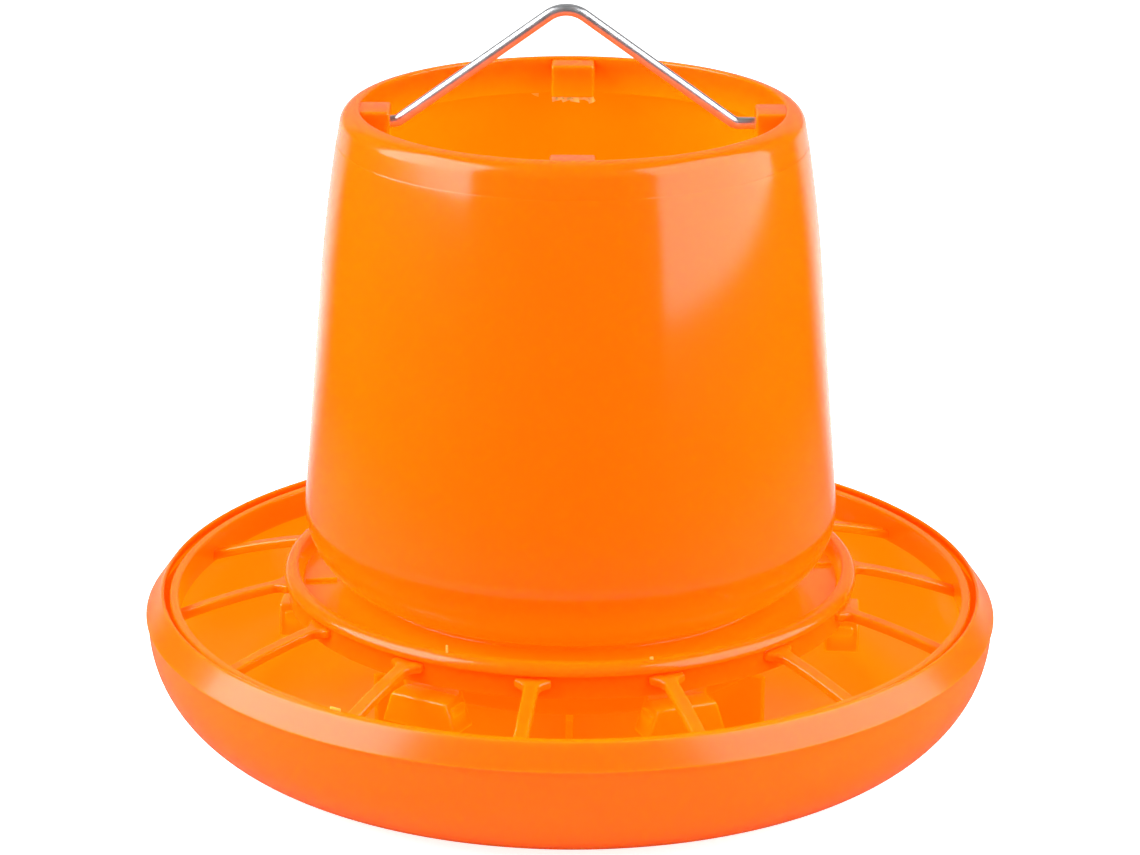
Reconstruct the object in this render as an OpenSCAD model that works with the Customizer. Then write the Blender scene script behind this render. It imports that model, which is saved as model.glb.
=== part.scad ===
// Hanging poultry feeder: tapered hopper, wire bail, spoked grill and pan.
// Millimetres. The origin is the middle of the floor that the pan stands on,
// +Z is up, -Y is the front and the bail turns about a line along X.

/* [Pan] */
// Radius of the collar's lower edge, the widest point of the feeder
pan_r = 127; // [118:0.5:140]
// Height of the rim's crest above the floor
pan_h = 42; // [40:0.5:50]
// Radius of the rounded corner between the floor and the wall
pan_corner_r = 33; // [24:0.5:34]
// Thickness of the pan's floor
pan_wall = 2.4; // [1.6:0.1:3.4]
// Step from the wall out to the collar's lower edge
collar_step = 0.6; // [0.3:0.1:1.2]
// Fall of the sloped collar from the rim's crest to its lower edge
collar_fall = 6.7; // [5.5:0.1:7.5]
// Width of the seat that the grill's flange stands on
seat_w = 1.2; // [0.8:0.1:1.6]
// Depth of the seat below the rim's crest
seat_drop = 9; // [8.5:0.1:10]
// How far the rim's lip reaches in over the flange
lip_reach = 3.2; // [2:0.1:3.6]

/* [Feed cone and ribs] */
// Radius of the cone's foot on the floor
cone_r = 50; // [40:0.5:54]
// Height of the cone's flat tip above the floor
cone_h = 36; // [24:0.5:38]
// Radius of the cone's flat tip
cone_tip_r = 5; // [3:0.5:10]
// Number of ribs that carry the hopper
rib_count = 6; // [3:1:8]
// Thickness of a rib
rib_w = 2.2; // [1.6:0.1:3]
// Height of the guide that a rib stands up inside the hopper's neck
rib_guide_h = 6; // [3:0.5:8]
// Clearance between that guide and the neck
rib_clear = 0.4; // [0.2:0.1:0.8]

/* [Grill] */
// Number of spokes
spoke_count = 14; // [8:1:18]
// Direction of the first spoke, in degrees from +X
spoke_turn = 5.9; // [0:0.1:25]
// Width of a spoke
spoke_w = 4.2; // [3:0.1:6]
// Depth of a spoke below its crown
spoke_t = 3; // [2:0.1:4]
// Radius of the arch that a spoke follows, seen from the side
spoke_arch_r = 190; // [120:5:400]
// Width of the shallow groove along a spoke's crown
spoke_groove_w = 1.8; // [1:0.1:2.2]
// Depth of that groove
spoke_groove_t = 0.5; // [0.2:0.1:0.8]
// Width that a spoke gains on each side where it meets the inner ring
spoke_flare = 3; // [1:0.1:4]
// Height of the inner ring's top above the floor
ring_h = 48.8; // [47:0.1:52]
// Radial width of the inner ring
ring_w = 4.3; // [3.6:0.1:6]
// Height of the inner ring's bead
ring_bead_h = 3.5; // [3:0.1:5]
// Height of the whole inner ring, bead and skirt
ring_skirt_h = 10.5; // [8:0.1:11]
// Thickness of the inner ring's skirt
ring_skirt_t = 3.1; // [2:0.1:3.4]
// Width of the outer ring's top
band_w = 2.7; // [2:0.1:4]
// Gap between the outer ring and the pan's lip, as seen from above
band_gap = 1.6; // [1:0.1:2.5]
// Depth of the outer ring's top below the rim's crest
band_drop = 1; // [0.5:0.1:2]
// Thickness of the flange that seats in the pan
band_flange_t = 2; // [1.5:0.1:2.5]

/* [Hopper] */
// Height of the hopper's top above the floor
hopper_top = 188; // [170:0.5:230]
// Outer radius at the top of the wall, under the rim
hopper_rim_r = 68.3; // [66:0.1:70]
// Outer radius where the straight wall starts to curve in
hopper_bend_r = 73.5; // [72:0.1:75]
// Height above the floor at which it does
hopper_bend_h = 136; // [110:1:150]
// Outer radius where the wall runs into the shoulder
hopper_foot_r = 79; // [77:0.1:80]
// Thickness of the hopper's wall
hopper_wall = 2.4; // [1.6:0.1:3]
// Radius of the rounded shoulder at the bottom
shoulder_r = 22.5; // [18:0.5:24]
// Height of the shoulder's centre above the floor
shoulder_h = 67.5; // [66:0.5:72]
// How far the outlet neck stands in from the wall's foot
neck_inset = 17; // [15:0.5:19]
// Height of the neck's lower edge, which is the feed gap
neck_h = 24; // [20:0.5:28]
// Height of the rim's upright outer face and rounded edge
rim_face_h = 9.9; // [8:0.1:10.5]
// Step in from the wall to that face
rim_step = 0.6; // [0.2:0.05:1]
// Radius of the rim's outer edge
rim_r = 5; // [3:0.1:5.2]
// Radial width of the rim's top
rim_w = 6.2; // [6.1:0.1:7.5]
// Height of the rim's inner face
rim_inner_h = 11.2; // [10.5:0.1:14]
// Clearance between the hopper and the grill's inner ring
ring_clear = 2.3; // [1:0.1:3]

/* [Lugs in the rim] */
// Width of a lug
lug_w = 13; // [8:0.1:16]
// Height of a lug
lug_h = 10; // [8.5:0.1:10.4]
// How far a lug reaches in from the rim's inner face
lug_reach = 8.9; // [6:0.1:10]
// Depth of a lug's top below the hopper's top
lug_drop = 0.7; // [0.4:0.1:1]

/* [Flange and feet of the hopper] */
// Thickness of the centring flange
flange_t = 2.5; // [2:0.1:3]
// Depth of the flange's top below the inner ring's top
flange_drop = 5; // [4:0.1:6]
// Gap between the flange's edge and the inner ring
flange_clear = 1.3; // [0.6:0.1:2]
// Width of the two low ribs across the flange's top
flange_rib_w = 1.4; // [0.8:0.1:3]
// Height of those ribs
flange_rib_h = 1; // [0.5:0.1:1.5]
// Turn of those ribs against the lugs, in degrees
flange_rib_turn = 6; // [-20:1:20]
// How far a foot reaches out past the flange
foot_reach = 7.5; // [6:0.1:9]
// Height of a foot
foot_h = 9; // [7:0.1:10]
// Width of a foot at its base
foot_w = 24; // [16:0.5:28]
// Width that a foot loses at each end towards its top
foot_slope = 3; // [1:0.1:5]
// Play between a foot's top and the inner ring's skirt
foot_play = 3.5; // [2:0.1:5]
// Thickness of a foot's walls
foot_wall = 2; // [1.5:0.1:2.5]
// How far a foot's leg stands in from the flange's edge
foot_leg_inset = 0.6; // [0.4:0.1:1.5]
// Turn of the set of feet against the lugs, in degrees
foot_turn = -3.5; // [-20:0.5:20]

/* [Bail] */
// Diameter of the wire
wire_d = 3.5; // [2.5:0.1:4.5]
// Radial clearance of the wire in the lugs' holes
wire_clear = 0.08; // [0.02:0.01:0.1]
// Height of the apex above the pivot line, along the wire's middle
bail_rise = 33; // [25:0.5:60]
// Radius of the bend at the apex, along the wire's middle
bail_apex_r = 9; // [6:0.5:14]
// Radius of the bends at the feet, along the wire's middle
bail_foot_r = 4; // [3:0.5:6]
// Length of a foot past its corner
bail_foot_l = 11; // [9:0.5:13]
// Distance from a foot's corner to the face of its lug, bail centred
bail_gap = 3.8; // [3:0.1:6]
// How far the bail has slid towards the left lug
bail_slide = 2; // [0:0.1:2.4]

/* [Hidden] */
$fn = 120;
plastic = [1, 0.45, 0.04];
zinc = [0.72, 0.74, 0.76];
// A little overlap, so that joined solids fuse
joint = 0.2;
// A bend is this much thicker than the straight wire that runs into it
bend_extra = 0.02;

// Pan: where its curves and steps lie
pan_wall_r = pan_r - collar_step;
collar_h = pan_h - collar_fall;
collar_edge_t = 0.5;
crest_w = 0.6;
seat_h = pan_h - seat_drop;
seat_out_r = pan_wall_r - 1.7;
seat_in_r = seat_out_r - seat_w;
lip_r = seat_out_r - lip_reach;
lip_edge_t = 1.8;
inner_corner_r = seat_h - pan_wall;

// Grill: its two rings, both placed from what they go around and into
ring_in_r = hopper_foot_r + ring_clear;
ring_out_r = ring_in_r + ring_w;
skirt_out_r = ring_in_r + ring_skirt_t;
skirt_h = ring_h - ring_skirt_h;
band_out_r = lip_r - band_gap;
band_in_r = band_out_r - band_w;
band_top = pan_h - band_drop;
flange_clear_r = 0.4;
spoke_in_h = ring_h - ring_bead_h - 0.8;
spoke_out_h = band_top - 5.3;

// Hopper: the wall's lean, its neck, its shoulder and its rim
neck_r = hopper_foot_r - neck_inset;
rim_h = hopper_top - rim_face_h;
rim_face_r = hopper_rim_r - rim_step;
wall_lean = wall_lean_at(4.8);
shoulder_x = hopper_foot_r - shoulder_r * cos(wall_lean);
shoulder_end_h = shoulder_h + shoulder_r * sin(wall_lean);
rim_in_r = rim_face_r - rim_w;
curve_in = (hopper_bend_r - hopper_rim_r - (rim_h - hopper_bend_h) * tan(wall_lean))
    / pow(rim_h - hopper_bend_h, 2);
lug_in_r = rim_in_r - lug_reach;
lug_top = hopper_top - lug_drop;
lug_angles = [0, 90, 180, 270];

// Flange and feet of the hopper
hub_r = ring_in_r - flange_clear;
flange_rib_in_r = neck_r + 8;
foot_out_r = hub_r + foot_reach;
flange_h = ring_h - flange_drop;
foot_top = skirt_h - foot_play;
foot_angles = [0, 64, 116, 180, 244, 296];

// Bail: its pivot line, corners and the lean of its legs
pivot_h = lug_top - 4.2;
corner_x = lug_in_r - bail_gap;
hole_end_r = corner_x + bail_foot_l + bail_slide + 0.7;
leg_a = leg_angle(35);
apex_x = bail_apex_r * sin(leg_a);
bend_l = bail_foot_r * tan(leg_a / 2);
leg_l = (corner_x - apex_x) / cos(leg_a) - bend_l;

// Lean of the wall from the vertical: it ends tangent to the shoulder
function wall_lean_at(a, n = 6) =
    n == 0 ? a : wall_lean_at(atan((hopper_foot_r - hopper_bend_r) /
        (hopper_bend_h - shoulder_h - shoulder_r * sin(a))), n - 1);

// Outer radius of the wall at a rise above the line where it starts to curve in
function curve_r(rise) =
    hopper_bend_r - rise * tan(wall_lean) - curve_in * rise * rise;

// Lean of the bail's legs that gives the stated rise
function leg_angle(a, n = 8) =
    n == 0 ? a : leg_angle(atan((bail_rise + bail_apex_r *
        (1 / cos(a) - 1)) / corner_x), n - 1);

// Middle of a circle of radius r through p and q, below the line p-q
function circle_middle(p, q, r) =
    let (d = q - p, l = norm(d), m = (p + q) / 2, k = sqrt(r * r - l * l / 4))
    m + k * [d[1], -d[0]] / l;

// Height of the cone's surface at radius r
function cone_at(r) =
    pan_wall + (cone_h - pan_wall) * (cone_r - r) / (cone_r - cone_tip_r);

// Quarter disc of radius r with its corner at the origin
module quarter(r) {
    intersection() {
        circle(r);
        square(r);
    }
}

// Half section of the pan's outside, from the axis to the crest
module pan_outside() {
    square([pan_wall_r - pan_corner_r, collar_h]);
    translate([pan_wall_r - pan_corner_r, pan_corner_r])
        mirror([0, 1]) quarter(pan_corner_r);
    translate([0, pan_corner_r - joint])
        square([pan_wall_r, collar_h - pan_corner_r + joint]);
    polygon([
        [0, collar_h - collar_edge_t], [pan_r, collar_h - collar_edge_t],
        [pan_r, collar_h], [lip_r + crest_w, pan_h], [0, pan_h]
    ]);
}

// Half section of the pan's inside, with the seat and the lip's underside
module pan_inside() {
    translate([seat_in_r - inner_corner_r, seat_h])
        mirror([0, 1]) quarter(inner_corner_r);
    translate([0, pan_wall])
        square([seat_in_r - inner_corner_r + joint, inner_corner_r]);
    polygon([
        [0, seat_h - joint], [seat_in_r, seat_h - joint], [seat_in_r, seat_h],
        [seat_out_r, seat_h], [seat_out_r, seat_h + band_flange_t + 0.6],
        [lip_r, pan_h - lip_edge_t], [lip_r, pan_h + 1], [0, pan_h + 1]
    ]);
}

// Half section of the feed cone and of the hollow under it
module cone_outside() {
    polygon([
        [0, 0], [cone_r, 0], [cone_r, pan_wall],
        [cone_tip_r, cone_h], [0, cone_h]
    ]);
}

module cone_inside() {
    slope = atan((cone_h - pan_wall) / (cone_r - cone_tip_r));
    drop = pan_wall / cos(slope);
    reach = (cone_h - drop) * (cone_r - cone_tip_r) / (cone_h - pan_wall);
    polygon([
        [0, -1], [cone_tip_r + reach, -1], [cone_tip_r + reach, 0],
        [cone_tip_r, cone_h - drop], [0, cone_h - drop]
    ]);
}

// Upright rib that the hopper's neck stands on, in the plane of X and Z
module carrying_rib() {
    guide_r = neck_r - hopper_wall - rib_clear;
    root_r = cone_tip_r + 15;
    rotate([90, 0, 0]) linear_extrude(rib_w, center = true) polygon([
        [root_r, pan_wall - joint], [neck_r + 4, pan_wall - joint],
        [neck_r + 4, neck_h], [guide_r, neck_h],
        [guide_r, neck_h + rib_guide_h], [guide_r - 4, neck_h + rib_guide_h],
        [root_r, cone_at(root_r) - joint]
    ]);
}

module pan() {
    color(plastic) difference() {
        union() {
            rotate_extrude() {
                difference() {
                    pan_outside();
                    pan_inside();
                }
                cone_outside();
            }
            for (i = [0 : rib_count - 1])
                rotate([0, 0, (i + 0.5) * 360 / rib_count]) carrying_rib();
        }
        rotate_extrude() cone_inside();
    }
}

// Half section of the inner ring: a rounded bead over a thinner skirt
module inner_ring_section() {
    out_round = 3;
    in_round = 0.8;
    translate([ring_in_r, skirt_h])
        square([ring_skirt_t, ring_skirt_h - in_round]);
    translate([ring_in_r, ring_h - ring_bead_h])
        square([ring_w, ring_bead_h - out_round + joint / 4]);
    translate([ring_in_r + in_round, ring_h - ring_bead_h])
        square([ring_w - in_round - out_round + joint / 4, ring_bead_h]);
    translate([ring_out_r - out_round, ring_h - out_round]) quarter(out_round);
    translate([ring_in_r + in_round, ring_h - in_round]) circle(in_round);
}

// Half section of the outer ring: an upright band on a seated flange
module outer_ring_section() {
    edge_round = 0.6;
    foot = spoke_out_h - spoke_t - 0.7;
    translate([band_in_r, foot])
        square([band_w, band_top - foot - edge_round]);
    translate([band_in_r + edge_round, foot])
        square([band_w - 2 * edge_round, band_top - foot]);
    for (r = [band_in_r + edge_round, band_out_r - edge_round])
        translate([r, band_top - edge_round]) circle(edge_round);
    translate([band_in_r, seat_h])
        square([seat_out_r - flange_clear_r - band_in_r, band_flange_t]);
}

// Half section of the arch that the spokes are cut from, sunk by drop
module arch_section(drop, thickness) {
    middle = circle_middle([ring_out_r, spoke_in_h], [band_in_r, spoke_out_h],
        spoke_arch_r);
    intersection() {
        translate([skirt_out_r - joint, 0])
            square([band_in_r - skirt_out_r + 2 * joint, ring_h]);
        difference() {
            translate(middle) circle(spoke_arch_r - drop, $fn = 720);
            translate(middle) circle(spoke_arch_r - drop - thickness, $fn = 720);
        }
    }
}

// Outline of a spoke seen from above, flared where it leaves the inner ring
module spoke_plan(width, flare) {
    polygon([
        [skirt_out_r - 1, -width / 2 - flare],
        [ring_out_r - 0.3, -width / 2 - flare],
        [ring_out_r + flare, -width / 2], [band_in_r + 1, -width / 2],
        [band_in_r + 1, width / 2], [ring_out_r + flare, width / 2],
        [ring_out_r - 0.3, width / 2 + flare],
        [skirt_out_r - 1, width / 2 + flare]
    ]);
}

module spoke() {
    difference() {
        intersection() {
            rotate([0, 0, -8]) rotate_extrude(angle = 16)
                arch_section(0, spoke_t);
            linear_extrude(ring_h) spoke_plan(spoke_w, spoke_flare);
        }
        intersection() {
            rotate([0, 0, -8]) rotate_extrude(angle = 16)
                arch_section(-1, 1 + spoke_groove_t);
            translate([ring_out_r + 1.5, -spoke_groove_w / 2, 0])
                cube([band_in_r - ring_out_r - 3, spoke_groove_w, ring_h]);
        }
    }
}

module grill() {
    color(plastic) {
        rotate_extrude() inner_ring_section();
        rotate_extrude() outer_ring_section();
        for (i = [0 : spoke_count - 1])
            rotate([0, 0, spoke_turn + i * 360 / spoke_count]) spoke();
    }
}

// Half section of what the hopper's outer surface encloses, set in by inset
module hopper_body(inset) {
    side = inset / cos(wall_lean);
    radius = shoulder_r - inset;
    steps = 6;
    rise = (rim_h - hopper_bend_h) / steps;
    polygon([
        [0, shoulder_h], [shoulder_x, shoulder_h],
        [shoulder_x + radius * cos(wall_lean), shoulder_h + radius * sin(wall_lean)],
        for (i = [0 : steps]) [curve_r(i * rise) - side, hopper_bend_h + i * rise],
        [0, rim_h]
    ]);
    intersection() {
        translate([shoulder_x, shoulder_h]) circle(radius);
        translate([0, shoulder_h - radius]) square([hopper_foot_r + 1, 2 * radius]);
    }
    translate([0, shoulder_h - radius]) square([shoulder_x, radius + joint]);
}

// Half section of the neck: a straight tube under the shoulder
module neck_section() {
    translate([neck_r - hopper_wall, neck_h])
        square([hopper_wall, shoulder_h - shoulder_r * 0.97 - neck_h]);
}

// Half section of the rim: a thick band with its outer edge rounded off
module rim_section() {
    edge_round = 0.8;
    edge_x = rim_face_r - rim_r;
    translate([rim_in_r, hopper_top - rim_inner_h])
        square([hopper_rim_r - hopper_wall / 2 - rim_in_r, rim_inner_h - rim_r]);
    translate([rim_in_r, rim_h - joint])
        square([rim_face_r - rim_in_r, rim_face_h - rim_r + joint * 5 / 4]);
    translate([edge_x, hopper_top - rim_r]) quarter(rim_r);
    translate([rim_in_r, hopper_top - rim_r])
        square([edge_x - rim_in_r + joint / 4, rim_r - edge_round]);
    translate([rim_in_r + edge_round, hopper_top - rim_r])
        square([edge_x - rim_in_r - edge_round + joint / 4, rim_r]);
    translate([rim_in_r + edge_round, hopper_top - edge_round])
        circle(edge_round);
}

// Block inside the rim, on the +X side
module lug() {
    edge = 1;
    translate([lug_in_r, -lug_w / 2 + edge, lug_top - lug_h])
        cube([lug_reach + 2, lug_w - 2 * edge, lug_h]);
    translate([lug_in_r + edge, -lug_w / 2, lug_top - lug_h])
        cube([lug_reach + 2 - edge, lug_w, lug_h]);
    for (side = [-1, 1])
        translate([lug_in_r + edge, side * (lug_w / 2 - edge), lug_top - lug_h])
            cylinder(h = lug_h, r = edge, $fn = 32);
}

// Outline of a foot and its leg seen from outside, set in by inset
module foot_front(inset, top) {
    half = foot_w / 2 - inset;
    polygon([
        [-half, foot_top - foot_h], [half, foot_top - foot_h],
        [half - foot_slope, min(top, foot_top)], [half - foot_slope, top],
        [-half + foot_slope, top], [-half + foot_slope, min(top, foot_top)]
    ]);
}

// Foot on the +X side: a leg down from the flange and an arch under the skirt
module foot() {
    base = foot_top - foot_h;
    leg_out_r = hub_r - foot_leg_inset;
    leg_in_r = leg_out_r - foot_wall;
    leg_top = flange_h - flange_t / 2;
    difference() {
        intersection() {
            rotate([0, 0, -15]) rotate_extrude(angle = 30) {
                translate([leg_in_r, base]) square([foot_wall, leg_top - base]);
                translate([leg_in_r, base])
                    square([foot_out_r - leg_in_r, foot_h]);
            }
            rotate([90, 0, 90]) linear_extrude(2 * hub_r)
                foot_front(0, leg_top);
        }
        intersection() {
            rotate([0, 0, -16]) rotate_extrude(angle = 32)
                translate([leg_out_r, base - 1])
                    square([foot_out_r - foot_wall - leg_out_r,
                        foot_h + 1 - foot_wall]);
            translate([0, 0, -joint]) rotate([90, 0, 90])
                linear_extrude(2 * hub_r) foot_front(foot_wall, foot_top);
        }
    }
}

module hopper() {
    color(plastic) difference() {
        union() {
            rotate_extrude() {
                difference() {
                    hopper_body(0);
                    hopper_body(hopper_wall);
                    square([neck_r - hopper_wall, shoulder_h]);
                }
                neck_section();
                rim_section();
                translate([neck_r - joint, flange_h - flange_t])
                    square([hub_r - neck_r + joint, flange_t]);
            }
            for (a = lug_angles) rotate([0, 0, a]) lug();
            for (a = foot_angles) rotate([0, 0, a + foot_turn]) foot();
            for (side = [0, 180]) rotate([0, 0, side + flange_rib_turn])
                translate([flange_rib_in_r, -flange_rib_w / 2, flange_h - joint])
                    cube([hub_r - 0.5 - flange_rib_in_r, flange_rib_w,
                        flange_rib_h + joint]);
        }
        for (side = [0, 180]) rotate([0, 0, side])
            translate([lug_in_r - 1, 0, pivot_h]) rotate([0, 90, 0])
                cylinder(h = hole_end_r - lug_in_r + 1, d = wire_d + 2 * wire_clear);
    }
}

// Straight length of wire along +X, from a little before the origin
module wire(length) {
    translate([-joint, 0, 0]) rotate([0, 90, 0])
        cylinder(h = length + 2 * joint, d = wire_d, $fn = 48);
}

// Bend of wire that leaves the origin along +X and turns up by angle
module wire_bend(radius, angle) {
    translate([0, 0, radius]) rotate([90, 0, 0]) rotate([0, 0, -90])
        rotate_extrude(angle = angle) translate([radius, 0])
            circle(d = wire_d + bend_extra, $fn = 48);
}

// Left half of the bail in the plane of X and Z: foot, corner and leg
module bail_half() {
    translate([-corner_x - bail_foot_l + joint, 0, pivot_h])
        wire(bail_foot_l - joint - bend_l);
    translate([-corner_x - bend_l, 0, pivot_h]) {
        wire_bend(bail_foot_r, leg_a);
        translate([bend_l * (1 + cos(leg_a)), 0, bend_l * sin(leg_a)])
            rotate([0, -leg_a, 0]) wire(leg_l);
    }
}

module bail() {
    color(zinc) translate([-bail_slide, 0, 0]) {
        bail_half();
        mirror([1, 0, 0]) bail_half();
        translate([0, 0, pivot_h + bail_rise - bail_apex_r])
            rotate([90, 0, 0]) rotate([0, 0, 90 - leg_a])
                rotate_extrude(angle = 2 * leg_a) translate([bail_apex_r, 0])
                    circle(d = wire_d + bend_extra, $fn = 48);
    }
}

pan();
grill();
hopper();
bail();
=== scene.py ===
"""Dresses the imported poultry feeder: a hopper, a grill and a pan moulded in glossy
orange plastic, and a bail of galvanised wire.

Every piece is modelled in metres in the frame of the CAD part, from sizes in
millimetres, and rides on the body that its CAD node belongs to.
"""

from __future__ import annotations

import logging
import math
import random
from collections.abc import Iterable, Sequence
from dataclasses import dataclass, field
from enum import Enum

import bmesh
import bpy
from bmesh.types import BMEdge, BMesh, BMFace, BMVert
from bpy.types import Material, Node, NodeSocket, NodeTree
from mathutils import Matrix, Vector

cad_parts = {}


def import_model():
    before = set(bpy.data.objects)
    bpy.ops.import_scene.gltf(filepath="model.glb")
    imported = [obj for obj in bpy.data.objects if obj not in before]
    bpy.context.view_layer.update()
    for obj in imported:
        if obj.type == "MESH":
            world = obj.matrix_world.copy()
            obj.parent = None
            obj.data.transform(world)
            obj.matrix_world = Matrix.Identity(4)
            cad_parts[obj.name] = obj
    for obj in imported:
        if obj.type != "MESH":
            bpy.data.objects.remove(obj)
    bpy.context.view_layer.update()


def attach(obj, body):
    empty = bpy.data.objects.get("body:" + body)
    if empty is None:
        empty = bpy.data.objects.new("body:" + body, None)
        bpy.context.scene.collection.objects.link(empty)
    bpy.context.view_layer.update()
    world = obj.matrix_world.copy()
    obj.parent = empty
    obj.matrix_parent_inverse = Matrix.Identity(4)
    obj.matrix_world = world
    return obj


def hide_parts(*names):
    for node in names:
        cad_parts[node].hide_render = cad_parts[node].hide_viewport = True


LOG = logging.getLogger("feeder")
MM = 0.001
SMOOTH_ANGLE = math.radians(34)
LEAST = 1e-6  # metres; points closer than this are one
NOWHERE = -1.0
Point = tuple[float, float, float]
Colour = tuple[float, float, float]
Input = NodeSocket | float | Sequence[float]


class Body(Enum):
    """The CAD bodies that the pieces ride on."""

    BASE = "base"
    HOPPER = "hopper"
    BAIL = "bail"


# Drawing tools


@dataclass(frozen=True)
class Corner:
    """A corner of a section in the plane of X and Z, in millimetres.

    Args:
        r: Distance from the axis.
        z: Height above the floor.
        bend: Radius of the arc that rounds the corner, or 0 for a sharp one.
        steps: Number of edges in that arc.
    """

    r: float
    z: float
    bend: float = 0.0
    steps: int = 6


class Section:
    """A section in the plane of X and Z, drawn edge by edge from its corners."""

    def __init__(self, corners: Sequence[Corner], closed: bool = True) -> None:
        """Draws the section.

        Args:
            corners: The corners in order.
            closed: Whether the last corner joins the first, as in a ring.
        """
        self.bm = bmesh.new()
        self.pen: BMVert | None = None
        count = len(corners)
        for i, corner in enumerate(corners):
            ends = not closed and i in (0, count - 1)
            if ends or corner.bend <= 0:
                self._line(Vector((corner.r, 0, corner.z)) * MM)
            else:
                self._bend(corners[i - 1], corner, corners[(i + 1) % count])
        if closed:
            self.bm.verts.ensure_lookup_table()
            self.bm.edges.new((self.pen, self.bm.verts[0]))
        bmesh.ops.remove_doubles(self.bm, verts=self.bm.verts, dist=LEAST)

    def _line(self, at: Vector) -> None:
        """Draws a straight edge from the pen to a point, in metres."""
        vert = self.bm.verts.new(at)
        if self.pen is not None:
            self.bm.edges.new((self.pen, vert))
        self.pen = vert

    def _bend(self, before: Corner, corner: Corner, after: Corner) -> None:
        """Draws the rounded corner between its neighbours as an exact arc."""
        at = Vector((corner.r, 0, corner.z)) * MM
        back = (Vector((before.r, 0, before.z)) * MM - at).normalized()
        on = (Vector((after.r, 0, after.z)) * MM - at).normalized()
        inner = back.angle(on)
        radius = corner.bend * MM
        centre = at + (back + on).normalized() * (radius / math.sin(inner / 2))
        self._line(at + back * (radius / math.tan(inner / 2)))
        axis = back.cross(on).normalized()
        out = bmesh.ops.spin(
            self.bm,
            geom=[self.pen],
            cent=centre,
            axis=axis,
            angle=inner - math.pi,
            steps=corner.steps,
            use_duplicate=False,
        )
        self.pen = verts_of(out["geom_last"])[0]

    def revolve(self, steps: int) -> BMesh:
        """Spins the section about Z into a closed surface of that many steps."""
        bm = self.bm
        bmesh.ops.spin(
            bm,
            geom=bm.verts[:] + bm.edges[:],
            cent=(0, 0, 0),
            axis=(0, 0, 1),
            angle=math.tau,
            steps=steps,
            use_merge=True,
            use_duplicate=False,
        )
        return tidy(bm)


def tidy(bm: BMesh) -> BMesh:
    """Merges doubles and turns every face outwards."""
    bmesh.ops.remove_doubles(bm, verts=bm.verts, dist=LEAST)
    bmesh.ops.recalc_face_normals(bm, faces=bm.faces)
    return bm


def faces_of(geom: Iterable[object]) -> list[BMFace]:
    """The faces among the geometry that an operator gives back."""
    return [g for g in geom if isinstance(g, BMFace)]


def verts_of(geom: Iterable[object]) -> list[BMVert]:
    """The vertices among the geometry that an operator gives back."""
    return [g for g in geom if isinstance(g, BMVert)]


def bevel_edges(
    bm: BMesh, edges: Sequence[BMEdge], width: float, segments: int
) -> None:
    """Rounds edges.

    Args:
        bm: The mesh.
        edges: The edges to round.
        width: The bevel's offset in millimetres.
        segments: Number of faces across it.
    """
    bmesh.ops.bevel(
        bm,
        geom=list(edges),
        offset=width * MM,
        offset_type="OFFSET",
        affect="EDGES",
        segments=segments,
        profile=0.5,
        material=-1,
        clamp_overlap=True,
    )


def prism(outline: Sequence[tuple[float, float]], thickness: float) -> BMesh:
    """A plate in the plane of X and Z.

    Args:
        outline: Its corners (x, z) in millimetres.
        thickness: Its thickness along Y in millimetres, half to each side.

    Returns:
        The closed mesh.
    """
    bm = bmesh.new()
    verts = [bm.verts.new((x * MM, -thickness * MM / 2, z * MM)) for x, z in outline]
    face = bm.faces.new(verts)
    out = bmesh.ops.extrude_face_region(bm, geom=[face])
    bmesh.ops.translate(bm, verts=verts_of(out["geom"]), vec=(0, thickness * MM, 0))
    return tidy(bm)


def block(low: Point, high: Point) -> BMesh:
    """A block between two corners, in millimetres."""
    bm = bmesh.new()
    bmesh.ops.create_cube(bm, size=1)
    size = [(b - a) * MM for a, b in zip(low, high)]
    middle = [(a + b) / 2 * MM for a, b in zip(low, high)]
    bmesh.ops.scale(bm, verts=bm.verts, vec=size)
    bmesh.ops.translate(bm, verts=bm.verts, vec=middle)
    return bm


def mesh_of(name: str, bm: BMesh) -> bpy.types.Mesh:
    """The mesh as data of the file; the given one is freed."""
    mesh = bpy.data.meshes.new(name)
    bm.to_mesh(mesh)
    bm.free()
    return mesh


def copies_round_z(bm: BMesh, angles: Iterable[float]) -> BMesh:
    """One mesh with a copy of the given one at each angle, in degrees, about Z."""
    mesh = mesh_of("copy", bm)
    out = bmesh.new()
    for angle in angles:
        start = len(out.verts)
        out.from_mesh(mesh)
        out.verts.ensure_lookup_table()
        bmesh.ops.rotate(
            out,
            verts=out.verts[start:],
            cent=(0, 0, 0),
            matrix=Matrix.Rotation(math.radians(angle), 3, "Z"),
        )
    bpy.data.meshes.remove(mesh)
    return out


def joined(parts: Sequence[BMesh]) -> BMesh:
    """All the meshes as one; the given ones are freed."""
    out = bmesh.new()
    for part in parts:
        mesh = mesh_of("join", part)
        out.from_mesh(mesh)
        bpy.data.meshes.remove(mesh)
    return out


def linked(name: str, data: bpy.types.ID) -> bpy.types.Object:
    """A new object in the scene for a mesh, a light or a camera."""
    obj = bpy.data.objects.new(name, data)
    bpy.context.scene.collection.objects.link(obj)
    return obj


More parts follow.
